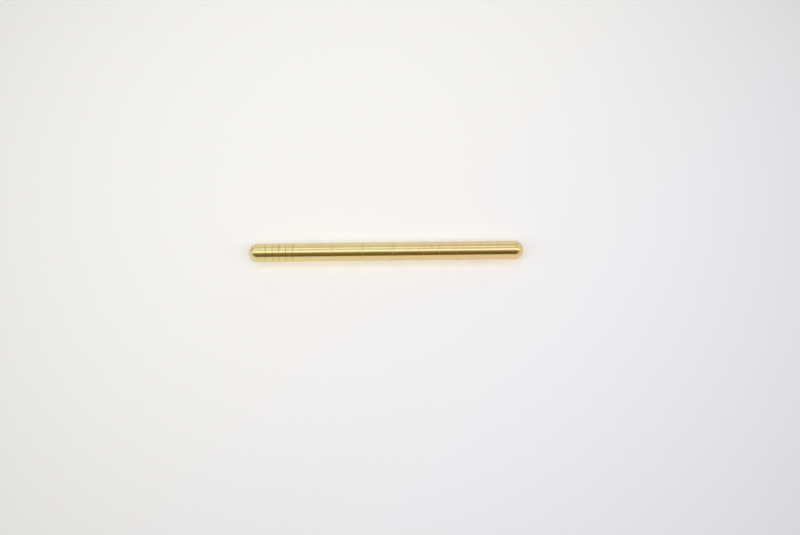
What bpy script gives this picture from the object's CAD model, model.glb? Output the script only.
# %% [markdown]
# # A turned brass index pin
#
# The real object is one length of round brass bar. A lathe gave it a domed face at
# each end and cut five fine rings near one end, and a light polish left it bright.
# Nothing is joined to it, so this scene holds one piece, the paper that it lies on and
# a camera. There are no lamps: a painted sky gives the light, and most of what the
# metal reflects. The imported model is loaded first, and the sizes below are read from it.

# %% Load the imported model
import math

import bmesh
import bpy
from mathutils import Matrix, Vector


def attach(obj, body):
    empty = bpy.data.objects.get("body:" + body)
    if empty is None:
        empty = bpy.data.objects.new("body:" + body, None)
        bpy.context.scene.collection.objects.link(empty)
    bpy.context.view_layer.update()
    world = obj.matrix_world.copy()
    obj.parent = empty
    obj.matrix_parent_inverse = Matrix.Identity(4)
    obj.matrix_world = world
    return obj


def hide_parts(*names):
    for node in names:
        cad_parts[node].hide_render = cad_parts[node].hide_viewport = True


MM = 0.001
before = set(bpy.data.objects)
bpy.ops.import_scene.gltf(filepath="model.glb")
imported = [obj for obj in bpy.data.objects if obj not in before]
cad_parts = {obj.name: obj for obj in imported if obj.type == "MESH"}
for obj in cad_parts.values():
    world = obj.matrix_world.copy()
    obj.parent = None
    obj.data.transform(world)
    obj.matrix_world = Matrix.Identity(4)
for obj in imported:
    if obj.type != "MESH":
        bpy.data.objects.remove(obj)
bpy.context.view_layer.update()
scene = bpy.context.scene

# %% [markdown]
# ## What the model says about the pin
#
# The pin lies along X, so a vertex's distance from the X axis is its radius there.
# The widest vertices are on the shank, and those that sink into it between the two
# domes are the bottoms of the rings. Their places are rounded to a thousandth of a
# millimetre, so that each ring counts once. Reading them here keeps this script true
# to the model if a length or a ring moves.

# %% Read the shank, the domes and the rings
TOUCH = 0.002 * MM

points = [v.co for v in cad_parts["index_pin"].data.vertices]
shank_r = max(math.hypot(p.y, p.z) for p in points)
tip_x = max(p.x for p in points)
on_shank = [p.x for p in points if math.hypot(p.y, p.z) > shank_r - TOUCH]
shank_end = max(on_shank)
sunk = [
    (round(p.x / MM, 3) * MM, shank_r - math.hypot(p.y, p.z))
    for p in points
    if abs(p.x) < shank_end and math.hypot(p.y, p.z) < shank_r - TOUCH
]
ring_places = sorted({x for x, depth in sunk})
ring_depth = max(depth for x, depth in sunk)
dome_h = tip_x - shank_end
dome_r = (dome_h**2 + shank_r**2) / (2 * dome_h)
print("shank radius", round(shank_r / MM, 3), "mm; dome radius", round(dome_r / MM, 3), "mm")
print("rings at", [round(x / MM, 2) for x in ring_places], "mm")

# %% [markdown]
# ## The outline that the lathe follows
#
# A turned part is a half outline swept round its axis, so the whole shape is in one
# list of points. It could also be a cylinder with a bevel, or two spheres joined to
# a tube, but only the outline gives exact control of the edges, and the edges are
# what catches the light. Each stretch of the outline says which finish it has.
#
# No real edge is a perfect corner. The line where a dome meets the shank is broken
# by a small curve, and so is the mouth of each ring. `fillet` puts that curve between
# two straight stretches.

# %% Outline helpers
HOLD = 0.01 * MM
SHANK_STEP = 1.0 * MM
SHANK, DOME, RING = 0, 1, 2


def fillet(corner, before, after, size, steps, finish):
    """Points of a curve that rounds a corner off, starting and ending `size` away from it."""
    start = corner + (before - corner).normalized() * size
    end = corner + (after - corner).normalized() * size
    made = []
    for i in range(steps + 1):
        t = i / steps
        made.append((start * (1 - t) ** 2 + corner * 2 * t * (1 - t) + end * t**2, finish))
    return made


def plain_stretch(start, end):
    """Points along the plain bar. The first and last are close to the ends, so that the
    soft shading of a rounded edge doesn't spread along the bar."""
    along = (end - start).normalized() * HOLD
    first, last = start + along, end - along
    count = max(1, round((last - first).length / SHANK_STEP))
    return [(first.lerp(last, i / count), SHANK) for i in range(count + 1)]


print("the plain bar runs in steps of about", SHANK_STEP / MM, "mm")

# %% [markdown]
# ## Rings
#
# Each ring is a shallow groove left by a pointed tool: two sloping walls, a slightly
# blunt root, and a mouth whose corners the polishing has rubbed round. The tool's
# point has a right angle, so half the ring's width is the same as its depth.

# %% Points of one ring
MOUTH_BREAK = 0.012 * MM
ROOT_BREAK = 0.012 * MM
BREAK_STEPS = 4


def ring(x):
    """Points of one ring, from the shank on one side of it to the shank on the other."""
    left = Vector((x - ring_depth, shank_r))
    root = Vector((x, shank_r - ring_depth))
    right = Vector((x + ring_depth, shank_r))
    sideways = Vector((ring_depth, 0))
    return (
        fillet(left, left - sideways, root, MOUTH_BREAK, BREAK_STEPS, RING)
        + fillet(root, left, right, ROOT_BREAK, BREAK_STEPS, RING)
        + fillet(right, root, right + sideways, MOUTH_BREAK, BREAK_STEPS, RING)
    )


print("each ring has", len(ring(0)), "points")

# %% [markdown]
# ## The domed ends
#
# Each dome is part of a sphere that is a little larger than the bar, so it meets the
# shank at a slight angle and not in a smooth curve. That faint line round the end is
# where the reflections along the bar stop short.

# %% Points of one end
EDGE_BREAK = 0.13 * MM
EDGE_STEPS = 6
DOME_STEPS = 40


def dome_point(angle):
    """The place on the plain end's dome at this angle from its tip."""
    return Vector((tip_x - dome_r * (1 - math.cos(angle)), dome_r * math.sin(angle)))


def plain_end():
    """Points from the shank over the broken edge and up to the tip."""
    edge_angle = math.asin(shank_r / dome_r)
    start_angle = edge_angle - EDGE_BREAK / dome_r
    edge = dome_point(edge_angle)
    after = dome_point(start_angle)
    crease = fillet(edge, Vector((0, shank_r)), after, EDGE_BREAK, EDGE_STEPS, DOME)
    angles = [start_angle * (1 - i / DOME_STEPS) for i in range(1, DOME_STEPS)]
    return crease + [(dome_point(a), DOME) for a in angles]


print("each end has", len(plain_end()), "points")

# %% [markdown]
# ## The whole outline
#
# The outline runs from the marked tip to the plain one. One end is worked out, and
# the other is its mirror.

# %% Put the outline together
right_end = plain_end()
left_end = [(Vector((-p.x, p.y)), finish) for p, finish in reversed(right_end)]

outline = left_end
for x in ring_places:
    groove = ring(x)
    outline = outline + plain_stretch(outline[-1][0], groove[0][0]) + groove
outline = outline + plain_stretch(outline[-1][0], right_end[0][0]) + right_end
print("the outline has", len(outline), "points")

# %% [markdown]
# ## Turn it on the lathe
#
# Sweeping the outline round X by hand, instead of with a Screw modifier, lets each
# face get its finish and its place on a map as it is made. The map is the bar's skin
# rolled flat: along the outline one way and round the bar the other.

# %% Measure along the outline
SEGMENTS = 192


def run_lengths(places):
    """How far along the outline each place is, as a share of the whole, tip to tip."""
    run = [0.0]
    for a, b in zip(places, places[1:]):
        run.append(run[-1] + (b - a).length)
    return [length / run[-1] for length in run]


print("the bar is", SEGMENTS, "faces round")

# %% Faces with a place on the map
def add_face(bm, corners, spots, finish):
    """One smooth face with its finish, and a spot on the map for each of its corners."""
    skin = bm.loops.layers.uv["skin"]
    face = bm.faces.new(corners)
    face.smooth = True
    face.material_index = finish
    for loop, spot in zip(face.loops, spots):
        loop[skin].uv = spot


def cover(bm, hoops, tips, finishes, runs):
    """Faces from each hoop of vertices to the next, and a fan from each end hoop to its tip."""
    for j in range(SEGMENTS):
        k = (j + 1) % SEGMENTS
        turn, next_turn = j / SEGMENTS, (j + 1) / SEGMENTS
        for i in range(len(hoops) - 1):
            same = finishes[i] == finishes[i + 1]
            a, b = runs[i + 1], runs[i + 2]
            corners = (hoops[i][j], hoops[i][k], hoops[i + 1][k], hoops[i + 1][j])
            spots = ((a, turn), (a, next_turn), (b, next_turn), (b, turn))
            add_face(bm, corners, spots, finishes[i] if same else SHANK)
        middle = (turn + next_turn) / 2
        a, b = runs[1], runs[-2]
        first, last = (tips[0], hoops[0][k], hoops[0][j]), (tips[1], hoops[-1][j], hoops[-1][k])
        add_face(bm, first, ((0, middle), (a, next_turn), (a, turn)), DOME)
        add_face(bm, last, ((1, middle), (b, turn), (b, next_turn)), DOME)


print("it will have", SEGMENTS * (len(outline) + 1), "faces")

# %% [markdown]
# ## Keep the ring walls true
#
# Smooth shading blends the directions of the faces that meet at an edge. In a ring a
# tiny curve meets a much longer wall, and a blend of those two bends the shading of
# the whole wall and leaves a false bright tick at the ring's mouth. So the hoops where a
# short face meets a long one are sharp, and only the curve between them is blended.

# %% Find and sharpen the ends of each small curve
LONG_FACE = 0.05 * MM


def crisp_points(outline):
    """The points of a ring where a face shorter than LONG_FACE meets a longer one."""
    lengths = [(b - a).length for (a, _), (b, _) in zip(outline, outline[1:])]
    crisp = []
    for i, pair in enumerate(zip(lengths, lengths[1:]), start=1):
        if outline[i][1] == RING and min(pair) < LONG_FACE < max(pair):
            crisp.append(i)
    return crisp


def sharpen(bm, hoop):
    """Mark the edges round one hoop as sharp."""
    for j in range(SEGMENTS):
        bm.edges.get((hoop[j], hoop[(j + 1) % SEGMENTS])).smooth = False


print("sharp hoops:", len(crisp_points(outline)))

# %% Sweep the outline round X
def lathe(name, outline):
    """A mesh made by turning the outline round X, closed at both tips."""
    places = [Vector((-tip_x, 0)), *[p for p, _ in outline], Vector((tip_x, 0))]
    bm = bmesh.new()
    bm.loops.layers.uv.new("skin")
    tips = [bm.verts.new((p.x, 0, 0)) for p in (places[0], places[-1])]
    turns = [2 * math.pi * j / SEGMENTS for j in range(SEGMENTS)]
    hoops = [
        [bm.verts.new((p.x, p.y * math.cos(a), p.y * math.sin(a))) for a in turns]
        for p, _ in outline
    ]
    cover(bm, hoops, tips, [finish for _, finish in outline], run_lengths(places))
    for i in crisp_points(outline):
        sharpen(bm, hoops[i])
    mesh = bpy.data.meshes.new(name)
    bm.to_mesh(mesh)
    bm.free()
    return mesh


pin_mesh = lathe("turned_pin", outline)
pin = bpy.data.objects.new("turned_pin", pin_mesh)
scene.collection.objects.link(pin)
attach(pin, "root")
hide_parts("index_pin")
print("the pin has", len(pin_mesh.polygons), "faces")

# %% [markdown]
# ## Building materials from nodes
#
# Every finish below is a small tree of shader nodes. One helper adds a node, sets its
# options and fills its sockets, with either a value or a link from another socket.
# The others do the same for sums, for mixed colours and for a number that is fitted
# into another range, which make up most of the nodes. A Mix node has a set of sockets
# for each kind of value, all with the same names, so its colours go by number.

# %% Nodes and sums
def add(tree, kind, sockets=None, **options):
    """A new shader node. Each of `sockets` gets a value, or a link from another socket."""
    node = tree.nodes.new("ShaderNode" + kind)
    for name, value in options.items():
        setattr(node, name, value)
    for name, value in (sockets or {}).items():
        if isinstance(value, bpy.types.NodeSocket):
            tree.links.new(value, node.inputs[name])
        else:
            node.inputs[name].default_value = value
    return node


def sum_of(tree, operation, *values):
    """The result of a sum on one to three values or sockets."""
    return add(tree, "Math", dict(enumerate(values)), operation=operation).outputs[0]


def weighed(tree, a, share_a, b, share_b):
    """Two values, each times its share, added together."""
    return sum_of(tree, "MULTIPLY_ADD", a, share_a, sum_of(tree, "MULTIPLY", b, share_b))


def vector_sum(tree, operation, sockets):
    """The outputs of a sum on vectors: 0 is a vector, and "Value" is a number."""
    return add(tree, "VectorMath", sockets, operation=operation).outputs


print("the sum helpers are ready")

# %% Colours, ranges and places
MIX_A, MIX_B, MIX_RESULT = 6, 7, 2


def mixed(tree, share, a, b):
    """A colour that goes from a to b as share goes from 0 to 1."""
    node = add(tree, "Mix", {0: share, MIX_A: a, MIX_B: b}, data_type="RGBA")
    return node.outputs[MIX_RESULT]


def fitted(tree, value, start, end, low=0.0, high=1.0, kind="SMOOTHSTEP"):
    """A number that goes from low to high as value goes from start to end, and stays there."""
    sockets = {"Value": value, "From Min": start, "From Max": end, "To Min": low, "To Max": high}
    return add(tree, "MapRange", sockets, interpolation_type=kind).outputs[0]


def here(tree):
    """The place on the object itself, in metres."""
    return add(tree, "TexCoord").outputs["Object"]


def parts(tree, vector):
    """The X, Y and Z of a vector."""
    return add(tree, "SeparateXYZ", {0: vector}).outputs


print("the helpers for colours, ranges and places are ready")

# %% [markdown]
# ## Shader groups
#
# The shank, the domes and the rings show the same effects in different strengths. So
# each effect is a group: it is built once, with a socket for every value that
# differs, and is then placed wherever it is needed.

# %% Group helpers
def group(name, numbers, outputs):
    """An empty group with number inputs and these outputs, and the sockets inside it."""
    tree = bpy.data.node_groups.new(name, "ShaderNodeTree")
    for label, value in numbers.items():
        socket = tree.interface.new_socket(label, in_out="INPUT", socket_type="NodeSocketFloat")
        socket.default_value = value
    for label, kind in outputs.items():
        tree.interface.new_socket(label, in_out="OUTPUT", socket_type="NodeSocket" + kind)
    given = tree.nodes.new("NodeGroupInput").outputs
    result = tree.nodes.new("NodeGroupOutput").inputs
    return tree, given, result


def placed(tree, made, **values):
    """The outputs of a group that is placed in a tree with these values."""
    return add(tree, "Group", values, node_tree=made).outputs


print("the group helpers are ready")

# %% [markdown]
# ## Lines in the metal
#
# A cutting tool leaves fine lines round a turned bar, and sliding in and out of a
# hole draws fine lines along it. Both are one effect: noise that is stretched one way.
# So one group makes both, from how many lines there are in a metre along the outline
# and across it. A picture of scratches would do too, but noise has no seam and stays
# sharp from close up. The place along the outline comes from the map that the lathe
# made, so the lines go round each dome as well.

# %% The lines group
SKIN_LENGTH = sum((b - a).length for (a, _), (b, _) in zip(outline, outline[1:]))
LINE_NOISE = {"Scale": 1, "Detail": 3, "Roughness": 0.6}
LINE_SPAN = (0.3, 0.7)


def lines_group():
    """Noise stretched into lines, so many in a metre each way."""
    numbers = {"Along": 1000, "Across": 1000, "Shift": 0}
    tree, given, result = group("lines", numbers, {"Lines": "Float"})
    skin = add(tree, "UVMap", uv_map="skin").outputs[0]
    run = sum_of(tree, "MULTIPLY", parts(tree, skin)["X"], SKIN_LENGTH)
    spot = parts(tree, here(tree))
    place = {
        "X": sum_of(tree, "MULTIPLY_ADD", run, given["Along"], given["Shift"]),
        "Y": sum_of(tree, "MULTIPLY", spot["Y"], given["Across"]),
        "Z": sum_of(tree, "MULTIPLY", spot["Z"], given["Across"]),
    }
    stretched = add(tree, "CombineXYZ", place).outputs[0]
    noise = add(tree, "TexNoise", {"Vector": stretched, **LINE_NOISE})
    tree.links.new(fitted(tree, noise.outputs[0], *LINE_SPAN, kind="LINEAR"), result["Lines"])
    return tree


lines = lines_group()
print("made the group", lines.name, "for a skin", round(SKIN_LENGTH / MM, 1), "mm long")

# %% [markdown]
# ## Patches of film
#
# Brass that is handled is never one colour. Here and there it has a warmer film, and
# the shine is a little duller. Soft noise makes the patches, and bending it a bit
# keeps them from looking like a row of clouds.

# %% The film group
FILM_NOISE = {"Scale": 1, "Detail": 4, "Roughness": 0.55, "Distortion": 0.4}
FILM_SPAN = (0.35, 0.65)


def film_group():
    """Soft patches, so many in a metre."""
    tree, given, result = group("film", {"Patches": 100}, {"Film": "Float"})
    place = vector_sum(tree, "SCALE", {0: here(tree), "Scale": given["Patches"]})[0]
    noise = add(tree, "TexNoise", {"Vector": place, **FILM_NOISE})
    tree.links.new(fitted(tree, noise.outputs[0], *FILM_SPAN), result["Film"])
    return tree


film = film_group()
print("made the group", film.name)

# %% [markdown]
# ## Turned brass
#
# This group is the metal itself. Its colour drifts from fresh to handled along the
# pin, with patches of film over it. Fine and broad turning lines together make the
# metal duller in bands. Where the lines are strongest the tool has torn the metal a
# little, and such a score is a rough, dull hair across every reflection. The bump
# takes its height from the same lines, so each mark bends the light as well. One
# even brass colour would be simpler, but a bar with no marks at all looks like plastic.

# %% Marks on the brass
FINE = dict(Across=150)
BROAD = dict(Across=60, Shift=7)
BROAD_SHARE = 0.125
EVEN_SHARE = 0.5
WORN_SPAN = (0.1, 0.6)
SCORE_BROAD, SCORE_FINE = 0.4, 0.6
SCORE_SPAN = (0.62, 0.9)


def turning_marks(tree, marks):
    """The turning lines, how worn they leave the metal, and the scores among them."""
    fine = placed(tree, lines, Along=marks, **FINE)["Lines"]
    sparse = sum_of(tree, "MULTIPLY", marks, BROAD_SHARE)
    broad = placed(tree, lines, Along=sparse, **BROAD)["Lines"]
    turned = weighed(tree, broad, EVEN_SHARE, fine, EVEN_SHARE)
    worn = fitted(tree, sum_of(tree, "MULTIPLY", turned, turned), *WORN_SPAN)
    score = fitted(tree, weighed(tree, broad, SCORE_BROAD, fine, SCORE_FINE), *SCORE_SPAN)
    return turned, worn, score


print("a broad line for every", 1 / BROAD_SHARE, "fine ones")

# %% Colour of the brass
FRESH = (0.80, 0.685, 0.335, 1)
HANDLED = (0.815, 0.615, 0.31, 1)
DULL = (0.60, 0.47, 0.20, 1)
FILM_WARMS, HANDLING_WARMS = 0.4, 0.8
SCORE_DULLS, WEAR_DULLS = 0.2, 0.12


def brass_colour(tree, patches, worn, score):
    """Fresh to handled along the pin, warmer under the film and duller where it is worn."""
    drift = fitted(tree, parts(tree, here(tree))["X"], -tip_x, tip_x, kind="LINEAR")
    warmth = weighed(tree, patches, FILM_WARMS, drift, HANDLING_WARMS)
    dulled = weighed(tree, score, SCORE_DULLS, worn, WEAR_DULLS)
    return mixed(tree, dulled, mixed(tree, warmth, FRESH, HANDLED), DULL)


print("the colour goes from", FRESH[:3], "to", HANDLED[:3])

# %% The turned brass group
FILM_PATCHES = 120
WEAR_ROUGHENS, FILM_ROUGHENS = 0.85, 0.15
SCORE_ROUGH = 0.12
RUBS = dict(Along=60, Across=5000, Shift=3)
RUB_DEPTH = 0.25
SCRATCH = 0.0006 * MM


def turned_brass_group():
    """Colour, roughness and normal of brass with so many turning marks in a metre."""
    numbers = {"Marks": 3000, "Smooth": 0.1, "Rough": 0.3}
    kinds = {"Color": "Color", "Roughness": "Float", "Normal": "Vector"}
    tree, given, result = group("turned_brass", numbers, kinds)
    turned, worn, score = turning_marks(tree, given["Marks"])
    patches = placed(tree, film, Patches=FILM_PATCHES)["Film"]
    tree.links.new(brass_colour(tree, patches, worn, score), result["Color"])

    loss = weighed(tree, worn, WEAR_ROUGHENS, patches, FILM_ROUGHENS)
    polish = fitted(tree, loss, 0, 1, given["Smooth"], given["Rough"], kind="LINEAR")
    tree.links.new(sum_of(tree, "MULTIPLY_ADD", score, SCORE_ROUGH, polish), result["Roughness"])

    rubbed = placed(tree, lines, **RUBS)["Lines"]
    height = sum_of(tree, "MULTIPLY_ADD", rubbed, RUB_DEPTH, turned)
    bump = add(tree, "Bump", {"Height": height, "Strength": 1, "Distance": SCRATCH})
    tree.links.new(bump.outputs[0], result["Normal"])
    return tree


turned_brass = turned_brass_group()
print("made the group", turned_brass.name)

# %% [markdown]
# ## The three finishes
#
# The lines run round the bar, so they smear a reflection along it and leave it sharp
# the other way. Anisotropy does that, with its tangent along the bar. Each finish is
# the group above with its own values, and two of them have a stain that depends on
# how far the metal is from the axis. Dirt sits in the bottom of the rings, and the
# middle of each domed face is dull, because a lathe tool hardly cuts there. The stain
# could be painted on the map, but a radius keeps it in place if the pin gets longer.

# %% Stains
GRIME = (0.10, 0.075, 0.03, 1)
SPECKS = 900
LEAST_STAIN = 0.7
DIRT_FROM, DIRT_FULL = 0.1, 0.8


def from_axis(tree):
    """How far the place is from the pin's axis, in metres."""
    flat = vector_sum(tree, "MULTIPLY", {0: here(tree), 1: (0, 1, 1)})[0]
    return vector_sum(tree, "LENGTH", {0: flat})["Value"]


def stained(tree, colour, stain, start, end, share):
    """The colour, with a stain that comes in from the start radius to the end radius."""
    specks = placed(tree, film, Patches=SPECKS)["Film"]
    uneven = fitted(tree, specks, 0, 1, share * LEAST_STAIN, share)
    deep = sum_of(tree, "MULTIPLY", fitted(tree, from_axis(tree), start, end), uneven)
    return mixed(tree, deep, colour, stain)


dirt_top, dirt_bottom = shank_r - DIRT_FROM * ring_depth, shank_r - DIRT_FULL * ring_depth
dirt = dict(stain=GRIME, start=dirt_top, end=dirt_bottom, share=0.12)
dull_middle = dict(stain=DULL, start=1.7 * MM, end=0.6 * MM, share=0.5)
print("dirt starts", round((shank_r - dirt_top) / MM, 3), "mm down in a ring")

# %% Brass materials
def brass(name, marks, smooth, rough, anisotropy, dirtied=None):
    """One finish of the metal, plain or with one of the stains above."""
    material = bpy.data.materials.new(name)
    material.use_nodes = True
    tree = material.node_tree
    shader = tree.nodes["Principled BSDF"]
    shader.inputs["Metallic"].default_value = 1
    shader.inputs["Anisotropic"].default_value = anisotropy
    metal = placed(tree, turned_brass, Marks=marks, Smooth=smooth, Rough=rough)
    colour = stained(tree, metal["Color"], **dirtied) if dirtied else metal["Color"]
    along = add(tree, "Tangent", direction_type="UV_MAP", uv_map="skin")
    tree.links.new(colour, shader.inputs["Base Color"])
    tree.links.new(metal["Roughness"], shader.inputs["Roughness"])
    tree.links.new(metal["Normal"], shader.inputs["Normal"])
    tree.links.new(along.outputs[0], shader.inputs["Tangent"])
    return material


finishes = (
    brass("brass_shank", marks=3000, smooth=0.10, rough=0.20, anisotropy=0.7),
    brass("brass_dome", marks=4000, smooth=0.10, rough=0.24, anisotropy=0.5, dirtied=dull_middle),
    brass("brass_ring", marks=6000, smooth=0.06, rough=0.10, anisotropy=0.0, dirtied=dirt),
)
for material in finishes:
    pin_mesh.materials.append(material)
    print("made", material.name)

# %% [markdown]
# ## The paper
#
# The pin lies on a sheet of matt white paper, far larger than the view, so that the
# metal has white paper to reflect right out to the horizon. The light falls off from
# a spot a little behind the pin, and it turns cooler toward the near right corner.
# Lamps with that fall-off would change the reflections too, so the paper's own tone
# carries it.

# %% The sheet
PAPER_HALF = 2.0


def paper_sheet():
    """A square sheet, just under the pin."""
    mesh = bpy.data.meshes.new("paper")
    h = PAPER_HALF
    corners = [(-h, -h, -shank_r), (h, -h, -shank_r), (h, h, -shank_r), (-h, h, -shank_r)]
    mesh.from_pydata(corners, [], [(0, 1, 2, 3)])
    return mesh


print("the paper is", 2 * PAPER_HALF, "m wide")

# %% The paper
PAPER_WARM = (0.905, 0.899, 0.883, 1)
PAPER_COOL = (0.887, 0.88, 0.925, 1)
BRIGHT_X, BRIGHT_Y = -0.012, 0.041
FADE_X, FADE_Y = 0.318, 0.352
FADE_END, FADE_TONE = 0.4, 0.74
COOL_LEAN = -0.8
COOL_SPAN = (-0.08, 0.16)
PAPER_ROUGH, PAPER_GLOSS = 0.8, 0.2


def paper_material():
    """Matt white that falls off away from the brightest place."""
    material = bpy.data.materials.new("paper")
    material.use_nodes = True
    tree = material.node_tree
    shader = tree.nodes["Principled BSDF"]
    spot = parts(tree, here(tree))
    aside = sum_of(tree, "DIVIDE", sum_of(tree, "SUBTRACT", spot["X"], BRIGHT_X), FADE_X)
    beyond = sum_of(tree, "DIVIDE", sum_of(tree, "SUBTRACT", spot["Y"], BRIGHT_Y), FADE_Y)
    off = sum_of(tree, "MULTIPLY_ADD", aside, aside, sum_of(tree, "MULTIPLY", beyond, beyond))
    tone = fitted(tree, off, 0, FADE_END, 1, FADE_TONE, kind="LINEAR")
    near_right = sum_of(tree, "MULTIPLY_ADD", spot["Y"], COOL_LEAN, spot["X"])
    tint = mixed(tree, fitted(tree, near_right, *COOL_SPAN), PAPER_WARM, PAPER_COOL)
    toned = vector_sum(tree, "SCALE", {0: tint, "Scale": tone})[0]
    tree.links.new(toned, shader.inputs["Base Color"])
    shader.inputs["Roughness"].default_value = PAPER_ROUGH
    shader.inputs["Specular IOR Level"].default_value = PAPER_GLOSS
    return material


paper = bpy.data.objects.new("floor", paper_sheet())
paper.data.materials.append(paper_material())
scene.collection.objects.link(paper)
print("the paper keeps", FADE_TONE, "of its tone where it is darkest")

# %% [markdown]
# ## What the metal reflects
#
# Polished metal is a mirror, so its look is mostly the look of the room. A straight
# bar reflects a fan of directions, like the spokes of a wheel: from the paper in
# front, up over the top and down to the paper behind. So the room is painted by the
# angle on that wheel, where 0 is the front horizon, 90 is straight up and 180 is the
# back horizon. It is a white tent with two bright tubes above it. An area lamp for
# each tube would work too, but a painted sky has no lamps to show in the domes.

# %% The wheel of directions
world = bpy.data.worlds.new("light_tent")
scene.world = world
world.use_nodes = True
tent = world.node_tree
tent.nodes.clear()
way = add(tent, "TexCoord").outputs["Generated"]
look = parts(tent, way)
ahead = sum_of(tent, "MULTIPLY", look["Y"], -1)
wheel = sum_of(tent, "DEGREES", sum_of(tent, "ARCTAN2", look["Z"], ahead))
print("made the world", world.name)

# %% [markdown]
# ## Masks for the tent
#
# A mask is a number from 0 to 1 that says how far a direction is inside a patch of
# the tent. Each span below is in degrees on the wheel, or in X from -1 at the left
# to 1 at the right, and a tube is given by the middle of its band and its width. The
# edges are soft, because a real tent's are, and because a soft edge gives the gentle
# steps in tone between the bands on the bar.

# %% Mask helpers
TUBE_CORE, TUBE_EDGE = 0.35, 0.65


def both(a, b):
    """The share that is in both of two masks."""
    return sum_of(tent, "MULTIPLY", a, b)


def between(start, full, still, end):
    """A mask that comes in from start to full on the wheel, and goes out from still to end."""
    return both(fitted(tent, wheel, start, full), fitted(tent, wheel, end, still))


def tube(centre, width):
    """A mask for a band round the wheel, with soft sides."""
    inside, outside = width * TUBE_CORE, width * TUBE_EDGE
    return between(centre - outside, centre - inside, centre + inside, centre + outside)


def across(start, full, low=0.0, high=1.0):
    """A mask that comes in as X goes from start to full, to the right or to the left."""
    return fitted(tent, look["X"], start, full, low, high)


print("each side of a tube fades over", round(TUBE_EDGE - TUBE_CORE, 2), "of its width")

# %% [markdown]
# ## The opening in front
#
# The tent is open in front, and the dark room beyond it is the dark band along the
# bar. It isn't one tone: it is browner near the paper on the left, lighter toward its
# top and its left side, and lighter still far to the right, where only the domes look.
# One flat dark patch would do from far off, but up close the band would look inked on.

# %% The opening
OPENING = (0.17, 0.12, 0.02, 1)
OPENING_LOW = (0.27, 0.17, 0.02, 1)
OPENING_RIGHT = (0.36, 0.30, 0.10, 1)
OPENING_HIGH = (0.30, 0.235, 0.085, 1)
TOP_EDGE = (58, 44)
SIDE_EDGE = (1.02, 0.8)
LOW_EDGE = (14, 4)
LOW_X = (0.08, -0.08)
RIGHT_X = (0.25, 0.45)
HIGH_SPAN, HIGH_MOST = (22, 44), 0.7
LEFT_X, LEFT_MOST = (0.08, -0.10), 0.3

side = sum_of(tent, "ABSOLUTE", look["X"])
opening = both(fitted(tent, wheel, *TOP_EDGE), fitted(tent, side, *SIDE_EDGE))
near_paper = both(fitted(tent, wheel, *LOW_EDGE), across(*LOW_X))
opening_low = mixed(tent, near_paper, OPENING, OPENING_LOW)
opening_low = mixed(tent, across(*RIGHT_X), opening_low, OPENING_RIGHT)
higher = fitted(tent, wheel, *HIGH_SPAN, 0, HIGH_MOST)
opening_tone = sum_of(tent, "ADD", higher, across(*LEFT_X, 0, LEFT_MOST))
opening_colour = mixed(tent, opening_tone, opening_low, OPENING_HIGH)
print("the opening ends", TOP_EDGE[0], "degrees up")

# %% [markdown]
# ## The tent itself
#
# The patches go on in layers, like paint, and a later one covers an earlier one. The
# panel is the bright top of the tent and the seam is the greyer cloth behind it, and
# a light shade over the right half tones that end of the bar down. The two tubes make
# the two bright lines along the bar. The domes look left and right as well, so they
# show a gap at each side of the tent and the wall past the right one. Far to the
# right, the front tube is wider and hangs a little lower.

# %% Paint the tent
TENT = (0.89, 0.92, 0.95, 1)
PANEL, PANEL_SPAN = (0.90, 0.96, 0.99, 1), (60, 68, 103, 111)
SEAM, SEAM_SPAN = (0.745, 0.77, 0.775, 1), (106, 112, 132, 142)
SHADE, SHADE_SPAN = (0.62, 0.62, 0.52, 1), (74, 82, 120, 132)
SHADE_X, SHADE_MOST = (0, 0.08), 0.62
RIGHT_GAP, RIGHT_GAP_SPAN, RIGHT_GAP_X = (0.15, 0.16, 0.10, 1), (75, 85, 150, 165), (0.18, 0.24)
RIGHT_WALL, WALL_SPAN, WALL_X = (0.84, 0.88, 0.86, 1), (70, 85, 150, 170), (0.36, 0.42)
LEFT_GAP, LEFT_GAP_WAY, LEFT_GAP_SPAN = (0.52, 0.56, 0.42, 1), (-0.88, 0.47, 0), (0.88, 0.97)
FRONT_TUBE, FRONT_AT = (1.95, 2.05, 2.25, 1), (68, 7)
DOME_TUBE_AT, DOME_TUBE_X = (62, 9), (0.3, 0.42)
BACK_TUBE, BACK_AT, BACK_X = (1.45, 1.56, 1.5, 1), (104.5, 8), (0.35, 0.2)

toward_gap = vector_sum(tent, "DOT_PRODUCT", {0: way, 1: LEFT_GAP_WAY})["Value"]
layers = (
    (between(*PANEL_SPAN), PANEL),
    (between(*SEAM_SPAN), SEAM),
    (both(across(*SHADE_X, 0, SHADE_MOST), between(*SHADE_SPAN)), SHADE),
    (both(across(*RIGHT_GAP_X), between(*RIGHT_GAP_SPAN)), RIGHT_GAP),
    (both(across(*WALL_X), between(*WALL_SPAN)), RIGHT_WALL),
    (fitted(tent, toward_gap, *LEFT_GAP_SPAN), LEFT_GAP),
    (opening, opening_colour),
    (both(tube(*BACK_AT), across(*BACK_X)), BACK_TUBE),
    (tube(*FRONT_AT), FRONT_TUBE),
    (both(tube(*DOME_TUBE_AT), across(*DOME_TUBE_X)), FRONT_TUBE),
)
seen = TENT
for mask, colour in layers:
    seen = mixed(tent, mask, seen, colour)
print("painted", len(layers), "parts of the tent")

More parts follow.
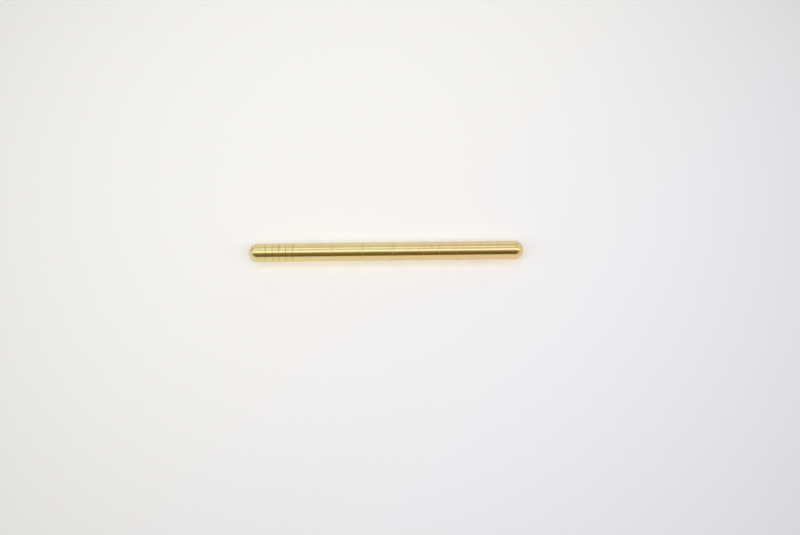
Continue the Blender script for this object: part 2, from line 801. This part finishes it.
# %% [markdown]
# ## The soft light
#
# Small bright tubes would light the paper unevenly and take many samples to settle.
# So light that reaches matt surfaces comes from a softer version of the same tent,
# with broad lobes in place of the tubes. The lobes' heights and widths decide the
# soft shadow beside the pin.
#
# A ray that leaves the paper and meets the pin goes on as a glossy ray. It gets
# levels of its own, with a strong glow low in front and low behind, so the polished
# bar throws warm light on the paper beside it and only a thin shadow is left where
# it touches. A real studio has one light for all of this. Splitting it in three lets
# the reflections, the shadow and the warm light be set one at a time, and the price
# is that they have to be matched by hand. The Light Path node tells which kind of ray
# is asking, and the camera itself sees a plain backdrop.

# %% Levels of the soft light
DIRECT_BASE, BOUNCED_BASE = 0.47, 0.34
OVER_FRONT, OVER_FRONT_LEVEL = (55, 22), 2.5
OVER_BACK, OVER_BACK_LEVEL = (106, 24), 0.72
LOW_BACK, LOW_BACK_LEVEL = (145, 170), 0.4
GLOW_FRONT, GLOW_FRONT_LEVEL = (14, 4), 7.3
GLOW_BACK, GLOW_BACK_LEVEL = (125, 150), 5


def lobed(base, *lobes):
    """A level with a lobe for each pair of mask and strength."""
    level = base
    for mask, strength in lobes:
        level = sum_of(tent, "MULTIPLY_ADD", mask, strength, level)
    return level


direct = lobed(
    DIRECT_BASE,
    (tube(*OVER_FRONT), OVER_FRONT_LEVEL),
    (tube(*OVER_BACK), OVER_BACK_LEVEL),
    (fitted(tent, wheel, *LOW_BACK), LOW_BACK_LEVEL),
)
bounced = lobed(
    BOUNCED_BASE,
    (fitted(tent, wheel, *GLOW_FRONT), GLOW_FRONT_LEVEL),
    (fitted(tent, wheel, *GLOW_BACK), GLOW_BACK_LEVEL),
)
print("light for matt surfaces peaks at", OVER_FRONT_LEVEL + DIRECT_BASE)

# %% Send each ray to its own light
SOFT = (1.0, 0.995, 0.985)
BACKDROP = (0.90, 0.90, 0.89, 1)
FIRST_BOUNCE = 0.5

path = add(tent, "LightPath").outputs
level = fitted(tent, path["Is Glossy Ray"], 0, 1, direct, bounced, kind="LINEAR")
soft = vector_sum(tent, "SCALE", {0: SOFT, "Scale": level})[0]
from_metal = sum_of(tent, "LESS_THAN", path["Diffuse Depth"], FIRST_BOUNCE)
sharp = both(path["Is Glossy Ray"], from_metal)
shown = mixed(tent, path["Is Camera Ray"], mixed(tent, sharp, soft, seen), BACKDROP)
background = add(tent, "Background", {"Color": shown})
add(tent, "OutputWorld", {"Surface": background.outputs[0]})
print("the world has", len(tent.nodes), "nodes")

# %% [markdown]
# ## Camera
#
# The camera looks down at a steep angle from in front. It is placed from what the
# image should show: how long the pin is in it, where its middle is and how it is tilted.
# The distance follows from the pin's length and the lens, and a long lens keeps the
# perspective flat.

# %% Camera
IMAGE_W, IMAGE_H = 800, 535
LENS_MM, SENSOR_MM = 70, 36
ELEVATION = math.radians(58)
PIN_LONG_PX = 274.3
PIN_AT_PX = (386.1, 251.2)
PIN_TILT = math.radians(0.67)

pixel = 2 * tip_x / PIN_LONG_PX
distance = pixel * IMAGE_W * LENS_MM / SENSOR_MM
back = Vector((0, -math.cos(ELEVATION), math.sin(ELEVATION)))
turn = Matrix.Rotation(-PIN_TILT, 3, back)
right = turn @ Vector((1, 0, 0))
up = back.cross(right)
aside = (IMAGE_W / 2 - PIN_AT_PX[0]) * pixel
above = (PIN_AT_PX[1] - IMAGE_H / 2) * pixel
place = back * distance + right * aside + up * above

camera = bpy.data.objects.new("camera", bpy.data.cameras.new("camera"))
camera.data.lens = LENS_MM
camera.data.sensor_width = SENSOR_MM
facing = Matrix((right, up, back)).transposed().to_4x4()
camera.matrix_world = Matrix.Translation(place) @ facing
scene.collection.objects.link(camera)
scene.camera = camera
scene.view_settings.view_transform = "Standard"
print("the camera is", round(distance, 3), "m from the pin")
